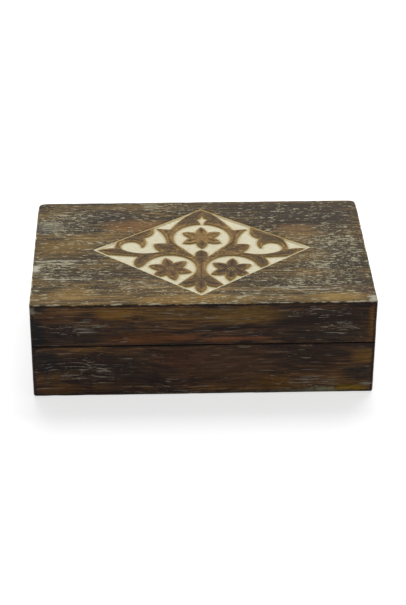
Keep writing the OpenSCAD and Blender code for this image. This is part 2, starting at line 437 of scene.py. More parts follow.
def edge_wear_and_highlight(bench):
    """Pale top edges, partly wear and partly painted highlight, and dirt a little inwards of every outer
    edge.
    """
    top = top_z / MM
    chips = bench.noise(bench.scale(bench.place, (0.14, 0.14, 0.7)), 1, 4, 0.7)
    chewed = bench.swing(edge_gap(bench), chips, 3.4)
    rubbed_and_lit = bench.step(bench.noise(bench.place, 0.045), 0.4, 0.6, 0.5, 1)
    high = bench.times(bench.step(bench.z, top - 2.5, top - 1, 0.1, 0.95), rubbed_and_lit)
    wear_and_highlight = bench.times(bench.step(chewed, 0.55, 0.3), high)
    dirt = bench.times(bench.step(chewed, 0.55, 0.8), bench.step(chewed, 2.6, 1.4, 0, 0.9))
    return wear_and_highlight, bench.times(dirt, bench.step(bench.z, top - 0.2, top - 0.6))


def seam_shade(bench, ragged):
    """Share of the dark line at the seam, weaker inside the box."""
    gap = bench.math("ABSOLUTE", bench.minus(bench.z, seam_z / MM))
    line = bench.step(bench.swing(gap, ragged, 1.6), 1.1, 0.3, 0, 0.85)
    return bench.times(line, bench.step(side_gap(bench), 2, 0.8, 0.3, 1))


# %% Wood finish
def wood(name, grain, seed, tones, spots=(), marks=(), waxy=(), wax=(0.74, 0.1, 1.5),
         wax_tone=wax_white, carved=False):
    """Stained wood with its grain along X or Y.

    Tones are five swatches: black, dark, mid, golden and edge. Spots lie under the wax and marks over
    it, each as (middle, reach, swatch, strength). Wax is the level over which a noise counts as wax,
    and the noise's waves per mm along and across the grain.
    """
    bench = Bench(name)
    black = tone(*tones[0])
    flat = grain_lines(bench, grain, seed)
    zones = bench.step(bench.fibres(flat, *broad_stain), 0.36, 0.64)
    bands = bench.step(bench.fibres(flat, *stain_bands), 0.36, 0.64)
    threads = bench.step(bench.fibres(flat, *fine_threads), 0.33, 0.67)
    ragged = bench.fibres(flat, *ragged_edges)
    level = bench.weigh((0.38, zones), (0.3, bands), (0.32, threads))
    colour = bench.ramp(level, list(zip((0.12, 0.36, 0.6, 0.88), tones)))
    colour = lay_patches(bench, colour, spots, ragged)
    normal = bench.apart(bench.add("TexCoord", {}, "Normal"))
    end_grain = bench.step(bench.math("ABSOLUTE", normal["XYZ".index(grain)]), 0.6, 0.9)
    gain = bench.weigh((0.26, bands), (0.4, threads), (-0.3, end_grain), (0.67, 1))
    colour = bench.mix(1, colour, gain, "MULTIPLY")

    pores = bench.step(bench.fibres(flat, *open_pores), 0.6, 0.68)
    colour = bench.mix(bench.times(pores, 0.55), colour, black)
    dashes = wax_dashes(bench, flat, ragged, waxy, *wax)
    wear_and_highlight, dirt = edge_wear_and_highlight(bench)
    colour = bench.mix(dirt, colour, black)
    colour = bench.mix(dashes, colour, tone(*wax_tone))
    # The pale edges round the top are partly wear and partly painted highlight.
    colour = bench.mix(wear_and_highlight, colour, tone(*tones[4]))
    torn = bench.step(bench.fibres(flat, *torn_edges), 0.3, 0.7)
    colour = lay_patches(bench, colour, marks, torn)
    colour = bench.mix(seam_shade(bench, ragged), colour, tone(26, 20, 17))

    height = bench.weigh((0.35, bands), (0.3, threads), (-0.3, dashes), (-0.25, pores))
    rough = bench.weigh((0.18, dashes), (-0.12, bands), (0.1, threads), (0.5, 1))
    if carved:
        colour = limed_relief(bench, colour, bands, threads, ragged)
    normal = bench.bump(height, 0.16, 0.8)
    return bench.finish(Base_Color=colour, Roughness=rough, Normal=normal, Specular_IOR_Level=0.09)


# %% Limed relief
carved_spots = on_top([
    (1.2, 16.5, 9, 9, (150, 118, 66), 0.7), (0.9, 7.6, 3.4, 3.4, (74, 56, 34), 0.7),
    (-18.7, 18.8, 5, 10, (134, 104, 58), 0.6), (21.3, 17.2, 5, 10, (130, 102, 60), 0.6),
    (1.5, 42, 24, 11, (74, 58, 36), 0.75), (-44, 21, 13, 10, (78, 62, 40), 0.75),
    (46, 16, 13, 12, (80, 63, 40), 0.75), (-23, 6, 8, 5, (88, 68, 42), 0.6),
    (28, 4, 9, 5, (98, 70, 42), 0.75), (0.4, -5, 5, 7, (76, 58, 38), 0.75),
    (-0.4, -25, 5, 9, (140, 112, 66), 0.6), (-1, -40, 16, 8, (80, 62, 38), 0.75),
    (-19, -21.7, 13, 13, (94, 68, 44), 0.7), (18, -23, 13, 13, (72, 55, 36), 0.8),
    (-42, -3, 20, 6, (82, 64, 42), 0.75), (46, -7, 20, 6, (86, 68, 42), 0.7),
    (-36, -13, 8, 8, (84, 64, 42), 0.7), (37, -16, 8, 8, (78, 60, 40), 0.7),
], deep=9)


def limed_relief(bench, colour, bands, threads, ragged):
    """Inside the diamond the relief is rubbed golden, and its walls are limed towards the ground."""
    gap = bench.attribute("relief_mm")
    inside = bench.attribute("in_diamond")
    lime = bench.attribute("lime")
    cloud = bench.step(bench.noise(bench.place, 0.16, 3, 0.6), 0.42, 0.58)
    grit = bench.step(bench.fibres(bench.place, 0.6, 1.2, 3, 0.65), 0.38, 0.62)
    core = bench.step(gap, 0.9, 2.2)
    stain = bench.weigh(
        (0.22, cloud), (0.1, bands), (0.16, threads), (0.44, grit), (-0.24, core), (0.19, 1))
    stops = [(0.1, (62, 47, 29)), (0.4, (100, 77, 44)), (0.66, (132, 103, 58)), (0.95, (158, 128, 78))]
    stained = lay_patches(bench, bench.ramp(stain, stops), carved_spots, ragged)
    gain = bench.weigh((0.44, grit), (0.2, threads), (-0.12, core), (0.74, 1))
    stained = bench.mix(1, stained, gain, "MULTIPLY")
    colour = bench.mix(bench.times(inside, 0.94), colour, stained)
    colour = bench.mix(bench.times(bench.attribute("vein"), 0.75), colour, tone(50, 36, 22))
    rim = bench.times(bench.step(gap, 0.65, 0, 0, 0.7), inside)
    colour = bench.mix(rim, colour, tone(168, 136, 80))
    stops = [(0.2, (120, 92, 50)), (0.5, (176, 152, 98)), (0.85, (216, 208, 174))]
    wall = bench.ramp(bench.swing(lime, ragged, 0.35), stops)
    return bench.mix(bench.step(lime, 0.02, 0.12), colour, wall)


# %% Finish of the top
top_tones = ((34, 26, 13), (60, 47, 26), (92, 73, 41), (130, 103, 56), (216, 208, 178))
chalk = (196, 192, 170)
top_spots = on_top([
    (-40, 32, 22, 10, (138, 97, 52), 0.55), (-84, 6, 22, 9, (142, 112, 56), 0.55),
    (-76, -50, 14, 8, (150, 118, 60), 0.6), (-60, 47, 34, 11, (42, 34, 28), 0.8),
    (-86, 34, 22, 14, (56, 49, 40), 0.6), (-97, 28, 6, 10, (66, 62, 58), 0.7),
    (-80, -10, 26, 7, (64, 54, 34), 0.6), (-78, -31, 26, 8, (60, 49, 36), 0.6),
    (60, 27, 15, 7, (118, 84, 50), 0.5), (84, 25, 9, 7, (92, 66, 44), 0.5),
    (66, 46, 48, 16, (40, 31, 25), 0.9), (18, 57, 66, 9, (54, 44, 31), 0.75),
    (86, -4, 22, 44, (42, 33, 23), 0.75), (70, -6, 12, 9, (112, 86, 46), 0.5),
    (80, -57, 20, 6, (150, 120, 60), 0.6), (97, -50, 6, 7, (76, 54, 38), 0.6),
    (-8, -59, 46, 6, (150, 116, 54), 0.65),
], deep=6)
top_marks = on_top([
    (-100, -21, 3.2, 4.5, chalk, 0.9), (-68.4, 2.6, 3.6, 0.7, chalk, 0.8),
    (-84, -11.5, 22, 0.6, chalk, 0.75), (-86, -15, 6, 0.5, chalk, 0.7),
    (-80, -33.5, 16, 0.5, chalk, 0.65), (-92, 33, 7, 8, (146, 142, 120), 0.35),
    (-30, 60, 5, 6, (150, 146, 120), 0.5), (52, -46, 15, 0.6, chalk, 0.65),
    (64, -49, 12, 0.5, chalk, 0.6), (99.5, -61, 3, 5, chalk, 0.7),
], deep=3)
top_waxy = on_top([
    (-84, -22, 26, 14, 0.5), (-60, -40, 44, 12, 0.3), (80, -8, 24, 34, 0.55),
    (66, -43, 32, 12, 0.42), (-84, 36, 22, 16, 0.6), (-30, 56, 60, 8, 0.15), (70, 46, 36, 14, 0.1),
    (14, -54, 46, 9, 0.35),
], deep=8)
top_wood = wood(
    "carved top wood", "X", (0, 0, 0), top_tones, top_spots, top_marks, top_waxy,
    wax=(0.676, 0.2, 1), wax_tone=(174, 167, 138), carved=True)
print("nodes in the top's finish:", len(top_wood.node_tree.nodes))

# %% Finishes of the long boards
outside_tones = ((38, 30, 29), (66, 50, 43), (94, 69, 50), (132, 97, 58), (200, 190, 162))
red_brown = (142, 92, 60)
blue_black = (36, 38, 40)
worn_pale = (168, 160, 136)
olive_gold = (138, 107, 56)
front_wax = (160, 152, 136)
dark_lid_back = ((-20, half_y / MM, 46), (150, 20, 40), (56, 43, 36), 0.45)
dark_base_back = ((20, half_y / MM, 16), (150, 20, 40), (52, 40, 35), 0.5)
lid_spots = on_front([
    (-90, 56, 8, 5, (86, 58, 38), 0.6), (-52, 57, 14, 5, (148, 108, 52), 0.7),
    (-18, 57, 34, 5, (126, 95, 52), 0.6), (24, 55, 26, 7, olive_gold, 0.65),
    (-44, 47.5, 6, 3, blue_black, 0.6), (-32, 40, 30, 4, (124, 78, 42), 0.55),
    (-12, 40.5, 14, 2, red_brown, 0.65), (12, 38.5, 14, 2.5, red_brown, 0.75),
    (30, 39, 10, 2, red_brown, 0.55), (74, 50, 34, 13, (54, 43, 38), 0.75),
    (74, 40, 34, 6, (46, 40, 38), 0.7), (-76, 43, 22, 9, (54, 44, 40), 0.7),
    (-99, 46, 6, 13, blue_black, 0.85), (99.5, 50, 3, 15, (130, 92, 38), 0.75),
])
lid_marks = on_front([
    (-75.5, 41.3, 0.35, 3.4, (24, 19, 17), 0.9), (-96, 60.4, 6, 2.2, blue_black, 0.8),
    (-100, 59.6, 2.6, 2.2, worn_pale, 0.6),
], deep=3)
lid_waxy = on_front([
    (-76, 47, 26, 5, 0.7), (-38, 48, 24, 3, 0.5), (78, 46, 16, 5, 0.85), (74, 57, 28, 5, 0.7),
    (0, 57, 60, 5, 0.45),
])
lid_wood = wood(
    "lid long boards", "X", (310, 40, 90), outside_tones, lid_spots + [dark_lid_back],
    lid_marks, lid_waxy, wax=(0.74, 0.06, 1.6), wax_tone=front_wax)
base_spots = on_front([
    (14, 20, 40, 14, (106, 77, 54), 0.55), (42, 8, 14, 6, (124, 88, 42), 0.65),
    (66, 24, 22, 11, (56, 43, 38), 0.7), (96, 26, 9, 6, (132, 98, 50), 0.7),
    (92, 14, 12, 7, blue_black, 0.75), (87, 2.6, 13, 3.4, (168, 132, 46), 0.85),
    (-60, 20, 44, 14, (46, 36, 34), 0.75), (-94, 24, 11, 11, blue_black, 0.75),
    (-84, 4, 16, 4, (110, 76, 42), 0.6), (-14, 26, 16, 8, (88, 54, 38), 0.5),
])
base_marks = on_front([
    (62, 1.6, 22, 2.4, (140, 136, 110), 0.5), (70, 2.2, 7, 2.6, (176, 172, 142), 0.6),
    (96.5, 6.2, 3.6, 1.4, (164, 160, 140), 0.75), (36, 1.2, 60, 0.9, (110, 108, 92), 0.4),
])
base_waxy = on_front([
    (-68, 19, 34, 11, 0.8), (-22, 3, 34, 4, 0.7), (68, 8, 16, 6, 0.85), (10, 1, 80, 2, 0.5),
])
base_wood = wood(
    "base long boards", "X", (-170, 220, -60), outside_tones, base_spots + [dark_base_back],
    base_marks, base_waxy, wax=(0.74, 0.05, 1.6), wax_tone=front_wax)
print("nodes in the lid's finish:", len(lid_wood.node_tree.nodes))

# %% Finishes of the sides, the floor plank and the inside
lid_side_wood = wood("lid side boards", "Y", (60, 410, 30), outside_tones, wax=(0.66, 0.06, 1.1))
base_side_wood = wood("base side boards", "Y", (-40, -300, 150), outside_tones, wax=(0.67, 0.06, 1.1))
floor_wood = wood("floor plank", "X", (90, -120, 400), outside_tones)
inside_tones = ((92, 64, 42), (118, 84, 56), (150, 110, 74), (168, 128, 88), (150, 118, 84))
hardly_any_wax = (0.95, 0.1, 1.5)
bare_wood = wood("bare wood inside", "X", (500, 90, 10), inside_tones, wax=hardly_any_wax)
bare_side_wood = wood("bare wood inside, sides", "Y", (20, 640, 70), inside_tones, wax=hardly_any_wax)

# %% [markdown]
# ## The boards
# Each box half is four boards butted together, with a plank glued on. A maker cuts them square,
# glues them, and then sands the outside, so only the outer edges are rounded and the glue lines stay
# as thin dark joints. Each board starts as a cube of its solid's size, is cut into short lengths so
# that its edges can wobble, and is rounded by bevel weights that depend on where an edge lies.

# %% Rounded edges
upright_round = 1.5 * MM
rear_round = 4.5 * MM
top_round = 0.9 * MM
bottom_round = 1.2 * MM
rim_round = 0.45 * MM
joint_round = 0.14 * MM
close = 0.02 * MM


def rounding(middle):
    """How far the edge with this middle is rounded."""
    on_x = abs(abs(middle.x) - half_x) < close
    on_y = abs(abs(middle.y) - half_y) < close
    if min(abs(middle.z - base_rim), abs(middle.z - lid_rim)) < close:
        return rim_round
    if not (on_x or on_y):
        return 0.0
    if on_x and on_y:
        return upright_round
    if abs(middle.z - top_z) < close:
        return top_round
    return bottom_round if abs(middle.z) < close else joint_round


def runs_along(edge, axis):
    """True for an edge that runs along one of the box's own axes."""
    return abs((edge.verts[1].co - edge.verts[0].co).normalized()[axis]) > 0.99


def divide(piece, cuts):
    """Cuts the edges of a block into lengths: cuts along X, Y and Z."""
    edit(piece)
    for axis in range(3):
        if cuts[axis]:
            pick(piece, "EDGE", lambda edge: runs_along(edge, axis))
            bpy.ops.mesh.subdivide(number_cuts=cuts[axis])
    leave_edit()


def round_edges(piece):
    """Rounds the corners of a board, each as far as its place asks."""
    shape = bmesh.new()
    shape.from_mesh(piece.data)
    least_corner = math.radians(57.3)
    weight = shape.edges.layers.float.new("bevel_weight_edge")
    for edge in shape.edges:
        corner = len(edge.link_faces) == 2 and edge.calc_face_angle() > least_corner
        middle = (edge.verts[0].co + edge.verts[1].co) / 2
        edge[weight] = rounding(middle) / upright_round if corner else 0.0
    shape.to_mesh(piece.data)
    shape.free()
    bevel = piece.modifiers.new("round", "BEVEL")
    bevel.limit_method = "WEIGHT"
    bevel.width = upright_round
    bevel.segments = 3
    bevel.use_clamp_overlap = False
    apply_all(piece)


def round_rear(piece):
    """Draws the two rear corners in from the bevel's radius to a wider one, as the sander left them."""
    for point in piece.data.vertices:
        x = abs(point.co.x) - half_x + rear_round
        y = point.co.y - half_y + rear_round
        if min(x, y) <= 0:
            continue
        run = math.hypot(x, y)
        inner = rear_round - upright_round
        lean = inner * (x + y) / run
        reach = lean + math.sqrt(max(lean ** 2 - 2 * inner ** 2 + upright_round ** 2, 0.0))
        if min(x, y) * reach / run < inner:
            reach = rear_round * run / max(x, y)
        point.co.x -= math.copysign(x * (1 - rear_round / reach), point.co.x)
        point.co.y -= y * (1 - rear_round / reach)


# %% Wear
edge_reach = 2.6 * MM
seam_reach = 1.4 * MM


def outer_gaps(place):
    """Distances to the nearest outer edge of the closed box and to its seam."""
    gap_x = half_x - abs(place.x)
    gap_y = half_y - abs(place.y)
    side = min(gap_x, gap_y)
    ends = min(top_z - place.z, place.z)
    return min(max(gap_x, gap_y), max(side, ends)), max(side, abs(place.z - seam_z))


def wear(piece, depth):
    """Small knocks and hollows along the outer edges, always inwards."""
    for point in piece.data.vertices:
        edge, seam = outer_gaps(point.co)
        knock = max(0.0, noise.noise(point.co * 95)) + 0.35 * max(0.0, noise.noise(point.co * 150))
        near = max(0.0, 1 - edge / edge_reach)
        near_seam = 0.35 * max(0.0, 1 - seam / seam_reach)
        point.co -= point.normal * (depth * knock * max(near, near_seam))


def keep_inside(piece):
    """Rounding can push a point out by a hair, so every point is held inside the box's own size."""
    for point in piece.data.vertices:
        point.co.x = min(max(point.co.x, -half_x), half_x)
        point.co.y = min(max(point.co.y, -half_y), half_y)
        point.co.z = min(max(point.co.z, 0.0), top_z)


def shaped_block(name, node, cuts, knocks):
    """A block of a solid's size, with rounded and knocked outer edges."""
    piece = block(name, *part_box(node))
    divide(piece, cuts)
    round_edges(piece)
    round_rear(piece)
    wear(piece, knocks)
    keep_inside(piece)
    return piece


# %% Board maker
box_wall = 9 * MM
top_depth = 3 * MM
mortise_play = 0.1 * MM
mortise_deep = 1.0 * MM


def finish_board(piece, node, body, outer, inner):
    """Gives a board its two finishes and its body, and hides the solid that it stands for."""
    piece.data.materials.append(outer)
    piece.data.materials.append(inner)
    for face in piece.data.polygons:
        x, y, z = face.center
        within = abs(x) < half_x - box_wall and abs(y) < half_y - box_wall
        face.material_index = int(within and close < z <= top_z - top_depth)
    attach(piece, body)
    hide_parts(node)
    print(piece.name, triangles(piece), "triangles")


def face_rim(piece, finish, wanted):
    """Carries the finish of the long boards over the outer edge of a plank, where wanted(z) holds."""
    piece.data.materials.append(finish)
    for face in piece.data.polygons:
        outer = max(abs(face.center.x) - half_x, abs(face.center.y) - half_y) > -bottom_round
        if outer and wanted(face.center.z):
            face.material_index = 2


def cut_mortise(piece, leaf):
    """Lets a hinge leaf into the rim of a back board, with a hair of play."""
    low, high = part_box(leaf)
    rim = lid_rim if low.z + high.z > 2 * seam_z else base_rim
    start = Vector((low.x - mortise_play, low.y - mortise_play, rim - mortise_deep))
    end = Vector((high.x + mortise_play, half_y + mortise_deep, rim + mortise_deep))
    chisel = block("chisel", start, end)
    cut = piece.modifiers.new("mortise", "BOOLEAN")
    cut.operation = "DIFFERENCE"
    cut.solver = "EXACT"
    cut.object = chisel
    apply_all(piece)
    bpy.data.objects.remove(chisel)


def board(part, body, cuts, outer, inner):
    """A whole board of the base or the lid, with mortises for the hinge leaves in the back ones."""
    node = f"{body}_{part}"
    piece = shaped_block(f"{part}_of_{body}", node, cuts, 0.35 * MM)
    if part == "back_board":
        cut_mortise(piece, f"left_hinge_{body}_leaf")
        cut_mortise(piece, f"right_hinge_{body}_leaf")
    smooth(piece)
    finish_board(piece, node, body, outer, inner)
    return piece


def four_boards(body, rows, long_wood, side_wood):
    """The boards round the base or the lid, each cut into so many rows in height."""
    for part in ("front_board", "back_board"):
        board(part, body, (66, 2, rows), long_wood, bare_wood)
    for part in ("left_board", "right_board"):
        board(part, body, (2, 35, rows), side_wood, bare_side_wood)


# %% Boards of the base and the lid
four_boards("base", 8, base_wood, base_side_wood)
floor_plank = board("floor_plank", "base", (66, 42, 2), floor_wood, bare_wood)
face_rim(floor_plank, base_wood, lambda z: z > rim_round)
four_boards("lid", 6, lid_wood, lid_side_wood)

# %% [markdown]
# ## Reading the carved outline
# The CAD plank has the whole ornament cut into it with upright walls. A carver's gouge leaves
# sloping walls and soft arrises instead. So the outline is read from the solid's flat top, where an
# edge that belongs to one triangle only is a border, and a fine sheet is then pushed down by its
# distance to that outline. A distance field keeps every curve where the solid has it.

# %% Outline of the carving
def carved_outline():
    """Ends of the border edges round the cut-away ground, as two arrays of points in mm."""
    mesh = nodes["lid_top_plank"].data
    mesh.calc_loop_triangles()
    places = [tuple(round(n / MM, 3) for n in vertex.co) for vertex in mesh.vertices]
    sides = {}
    for triangle in mesh.loop_triangles:
        corners = [places[i] for i in triangle.vertices]
        if min(corner[2] for corner in corners) < top_z / MM - 0.01:
            continue
        for a, b in zip(corners, corners[1:] + corners[:1]):
            key = tuple(sorted((a[:2], b[:2])))
            sides[key] = sides.get(key, 0) + 1
    border = np.array([key for key, count in sides.items() if count == 1])
    carved = (np.abs(border).max(axis=1) < (90, 60)).all(axis=1)
    return border[carved, 0], border[carved, 1]


def nearest_on(points, starts, ends):
    """Nearest border point of each point, and True where a point lies in the cut-away ground."""
    batch = 4000
    run = ends - starts
    length = np.maximum((run ** 2).sum(1), 1e-9)
    lean = run[:, 0] / np.where(np.abs(run[:, 1]) < 1e-9, 1e-9, run[:, 1])
    nearest = np.zeros_like(points)
    cut_away = np.zeros(len(points), bool)
    for first in range(0, len(points), batch):
        rows = slice(first, first + batch)
        part = points[rows, None]
        x, y = part[..., 0], part[..., 1]
        share = np.clip(((part - starts) * run).sum(2) / length, 0, 1)
        spot = starts + share[..., None] * run
        best = ((part - spot) ** 2).sum(2).argmin(1)
        nearest[rows] = spot[np.arange(len(best)), best]
        over = (starts[:, 1] > y) != (ends[:, 1] > y)
        cross = starts[:, 0] + (y - starts[:, 1]) * lean
        cut_away[rows] = ((over & (cross > x)).sum(1) % 2) == 1
    return nearest, cut_away


border_starts, border_ends = carved_outline()
print("border edges of the carving:", len(border_starts))

# %% [markdown]
# ## The carved top plank
# The sheet for the relief is a fine grid, trimmed to the diamond by four cuts. Points that lie very
# near the outline are moved onto it, so that every arris runs true. The plank itself is a rounded
# block like the other boards: a diamond is taken out of its top, and the relief is filled in.

# %% Relief sheet
diamond = [Vector((x, y, 0)) for x, y in ((-66, 2.3), (-1.2, -54), (68, 2.4), (1.9, 54))]
relief_step = 0.34
relief_margin = 2.2


def diamond_sides(margin):
    """A point and an outward normal for each side of the diamond, moved out by margin, in mm."""
    sides = []
    for a, b in zip(diamond, diamond[1:] + diamond[:1]):
        run = (b - a).normalized()
        outward = Vector((run.y, -run.x, 0))
        sides.append((a + outward * margin, outward))
    return sides


def grid_sheet(name, step, margin):
    """A flat grid of nearly square cells, cut to the diamond's outline."""
    width = 138.0
    depth = 112.0
    cells = (round(width / step), round(depth / step))
    sheet = flat_grid(name, (1.0 * MM, 0, top_z), (width * MM, depth * MM), cells)
    edit(sheet)
    for spot, outward in diamond_sides(margin):
        bpy.ops.mesh.select_all(action="SELECT")
        bpy.ops.mesh.bisect(plane_co=spot * MM + Vector((0, 0, top_z)), plane_no=outward, clear_outer=True)
    leave_edit()
    return sheet


def read_points(piece):
    points = np.zeros(len(piece.data.vertices) * 3)
    piece.data.vertices.foreach_get("co", points)
    return points.reshape(-1, 3)


def write_points(piece, points):
    piece.data.vertices.foreach_set("co", points.ravel())
    piece.data.update()


def write_attribute(piece, name, values):
    attribute = piece.data.attributes.new(name, "FLOAT", "POINT")
    attribute.data.foreach_set("value", values.astype(np.float32))


def read_outline(sheet):
    """Flat points of a sheet in mm, nearest points of the outline, gaps, and True over the ground."""
    flat = read_points(sheet)[:, :2] / MM
    nearest, cut_away = nearest_on(flat, border_starts, border_ends)
    return flat, nearest, np.linalg.norm(flat - nearest, axis=1), cut_away


relief = grid_sheet("carved_top", relief_step, relief_margin)
flat, nearest, gap, cut_away = read_outline(relief)
snap = gap < 0.42 * relief_step
flat[snap] = nearest[snap]
gap[snap] = 0
print("relief points:", len(flat), "of them on the outline:", int(snap.sum()))

# %% Veins and pits
motif_middle = np.array([0.6, 0.0])
motif_lean = math.radians(-2.2)
vein_half = 0.5
vein_deep = 0.34
pit_half = 0.55
pit_deep = 0.6
single_veins = [
    [(0, -10.5), (0, -24), (0, -36.5)],
    [(0, -1.6), (0, -5), (0, -8.4)],
    [(0, -38.5), (0, -43), (0, -47.5)],
    [(54, -1.9), (58, -0.6), (64, 3.1)],
    [(-54, -1.9), (-58, -0.6), (-64, -1.3)],
]
paired_veins = [
    [(14.5, -0.6), (21.5, 2.4), (28.2, 7.2)],
    [(21.2, 21.5), (22.4, 25.6), (27, 27.1)],
    [(3.2, -9.6), (16, -3), (36, -5.7)],
    [(36, -5.7), (47, -6), (55, -1.6)],
    [(31.5, -6.4), (38.6, -9), (37, -18.4)],
    [(51.6, 1.8), (53, 12.6), (42.5, 18.6)],
    [(44, 17.2), (37.6, 18.2), (32.6, 25.2)],
    [(46, 13.8), (39.4, 14), (37, 7.4)],
    [(2.4, -36.6), (6, -39.8), (11, -41)],
    [(14.6, 34.6), (9, 43), (4, 49)],
    [(13.2, 0.8), (22.6, 11.4), (20, 22.6)],
]
flowers = [((0, 16.5), 2), ((18.1, -22.4), -4), ((-18.7, -22.4), 14)]


def to_box(points):
    """Points of the motif's own upright drawing, leaned as the carver leaned it."""
    c = math.cos(motif_lean)
    s = math.sin(motif_lean)
    return motif_middle + np.array(points, float) @ np.array([(c, s), (-s, c)])


def ring(x, y, reach, turn):
    """Six points round a middle, the first of them at turn degrees."""
    ways = [math.radians(turn + 60 * k) for k in range(6)]
    return [(x + reach * math.cos(way), y + reach * math.sin(way)) for way in ways]


def curve_through(start, bend, end):
    """Fourteen points along the curve that leaves start for bend and bends over to end."""
    t = np.linspace(0, 1, 14)[:, None]
    start, bend, end = (np.array(point, float) for point in (start, bend, end))
    return (1 - t) ** 2 * start + 2 * t * (1 - t) * bend + t ** 2 * end


def cut_line(points, line, half, deep):
    """Depth in mm of a V-shaped cut along a line, fading out at both of its ends."""
    depth = np.zeros(len(points))
    near = (np.abs(points - line.mean(0)).max(1) < np.ptp(line, axis=0).max() + 2)
    part = points[near]
    a = line[:-1]
    run = line[1:] - a
    share = np.clip(((part[:, None] - a) * run).sum(2) / (run ** 2).sum(1), 0, 1)
    away = np.linalg.norm(part[:, None] - (a + share[..., None] * run), axis=2)
    best = away.argmin(1)
    along = (best + share[np.arange(len(part)), best]) / len(a)
    fade = np.clip(np.minimum(along, 1 - along) * 6, 0.25, 1)
    depth[near] = deep * fade * np.clip(1 - away.min(1) / (half * np.sqrt(fade)), 0, 1)
    return depth


def carved_lines():
    """All veins of the leaves and petals, as lines in the box's own mm."""
    lines = [to_box(curve_through(*vein)) for vein in single_veins]
    for vein in paired_veins:
        curve = curve_through(*vein)
        lines += [to_box(curve), to_box(curve * (-1, 1))]
    for (x, y), turn in flowers:
        for vein in zip(*[ring(x, y, reach, 90 + turn) for reach in (3.4, 7.0, 10.6)]):
            lines.append(to_box(curve_through(*vein)))
    return lines


def seed_pits(points):
    """Depth of the small pits in the middle of each flower, which hold lime as the ground does."""
    depth = np.zeros(len(points))
    for (x, y), turn in flowers:
        for pit in to_box([(x, y)] + ring(x, y, 1.7, turn)):
            away = np.linalg.norm(points - pit, axis=1) / pit_half
            depth = np.maximum(depth, pit_deep * np.clip(1 - away ** 2, 0, 1))
    return depth


veins = carved_lines()
print("veins:", len(veins))

# %% Depths over the relief sheet
carving_deep = 1.5
rim_groove = 1.1
rim_deep = 0.6
groove_end = 0.9
wall_run = 0.5
arris_drop = 0.26
arris_run = 1.1


def diamond_gap(points):
    """Distance in mm inwards from the nearest side of the diamond; negative outside it."""
    sides = diamond_sides(0)
    return np.min([(np.array(spot.xy) - points) @ np.array(outward.xy) for spot, outward in sides], axis=0)


inward = diamond_gap(flat)
inside = inward > -0.05
run = np.where(inside, arris_run, 0.4)
drop = np.where(inside, arris_drop, 0.08)
raised = -drop * np.clip(1 - gap / run, 0, 1) ** 2
wall = np.clip(gap / wall_run, 0, 1)
share = np.clip((inward - rim_groove) / groove_end, 0, 1)
floor_deep = rim_deep + (carving_deep - rim_deep) * share
carved = -arris_drop - (floor_deep - arris_drop) * wall ** 0.85
ground = cut_away & (gap > 0)
lines = np.max([cut_line(flat, line, vein_half, vein_deep) for line in veins], axis=0)
pits = np.where(inward > 2, seed_pits(flat), 0)
cuts = np.maximum(lines * np.clip(gap / 0.7, 0, 1), pits)
height = np.where(ground, carved, raised - cuts)
lime = np.clip((-carved - 0.35) / 0.7, 0, 1)
lime = np.maximum(lime, np.clip(gap / 0.3, 0, 1) * (inward < rim_groove + groove_end))
rear = np.clip((flat[:, 1] - 4) / 8, 0, 1) * np.clip(1 - (inward - rim_groove) / groove_end, 0, 1)
lime = lime * (1 - 0.38 * rear)
lime = np.where(ground, lime, np.clip(pits / 0.45, 0, 1))

# %% Push the relief down
write_points(relief, np.column_stack([flat * MM, top_z + height * MM]))
write_attribute(relief, "relief_mm", np.where(ground, 0, gap))
write_attribute(relief, "in_diamond", np.clip(inward / 0.4, 0, 1))
write_attribute(relief, "lime", lime)
write_attribute(relief, "vein", np.where(ground, 0, lines / vein_deep))
print("relief from", round(float(height.min()), 2), "to", round(float(height.max()), 2), "mm")

# %% Plank body
plank = shaped_block("plank_body", "lid_top_plank", (66, 42, 2), 0.4 * MM)
hole = diamond_sides(relief_margin + 0.3)


def on_flat_top(face):
    return face.normal.z > 0.999 and face.calc_center_median().z > top_z - close


def in_hole(face):
    middle = face.calc_center_median() / MM
    return on_flat_top(face) and all((middle - spot).xy.dot(outward.xy) < 0 for spot, outward in hole)


edit(plank)
for spot, outward in hole:
    pick(plank, "FACE", on_flat_top)
    bpy.ops.mesh.bisect(plane_co=spot * MM + Vector((0, 0, top_z)), plane_no=outward)
pick(plank, "FACE", in_hole)
bpy.ops.mesh.delete(type="FACE")
leave_edit()

# %% Relief and plank in one
hold(relief)
plank.select_set(True)
bpy.ops.object.join()
edit(relief)
bpy.ops.mesh.select_mode(type="EDGE")
bpy.ops.mesh.select_non_manifold(extend=False, use_wire=True, use_boundary=True, use_multi_face=False,
                                 use_non_contiguous=False, use_verts=False)
bpy.ops.mesh.fill(use_beauty=True)
bpy.ops.mesh.select_all(action="SELECT")
bpy.ops.mesh.normals_make_consistent(inside=False)
leave_edit()
smooth(relief, 32)
finish_board(relief, "lid_top_plank", "lid", top_wood, bare_wood)
face_rim(relief, lid_wood, lambda z: z < top_z - rim_round)

# %% [markdown]
# ## Lime paint in the carved ground
# The ground is filled with a chalky cream paint that was brushed in thick and wiped off the relief.
# It lies a little lower than the relief and creeps up its walls. A second, coarser sheet keeps only
# the cells over the ground, gets brush marks and is thickened downwards into a closed skin.

# %% Paint finish
bench = Bench("lime paint")
strokes = bench.fibres(bench.place, 0.35, 0.9, 4, 0.6)
grain = bench.noise(bench.place, 2.4, 3, 0.6)
ragged = bench.swing(bench.attribute("wall_mm"), strokes, 1.2)
colour = bench.mix(bench.step(strokes, 0.35, 0.65), tone(214, 206, 176), tone(228, 222, 196))
# Painted shade: a tan band within about 2 mm of the relief's walls, where the ground meets them.
colour = bench.mix(bench.step(ragged, 2.3, 0.1, 0, 0.8), colour, tone(180, 160, 104))
colour = bench.mix(bench.step(grain, 0.6, 0.7, 0, 0.4), colour, tone(164, 142, 96))
normal = bench.bump(bench.weigh((1, strokes), (0.4, grain)), 0.15, 0.7)
lime_paint = bench.finish(Base_Color=colour, Roughness=0.85, Normal=normal, Specular_IOR_Level=0.15)

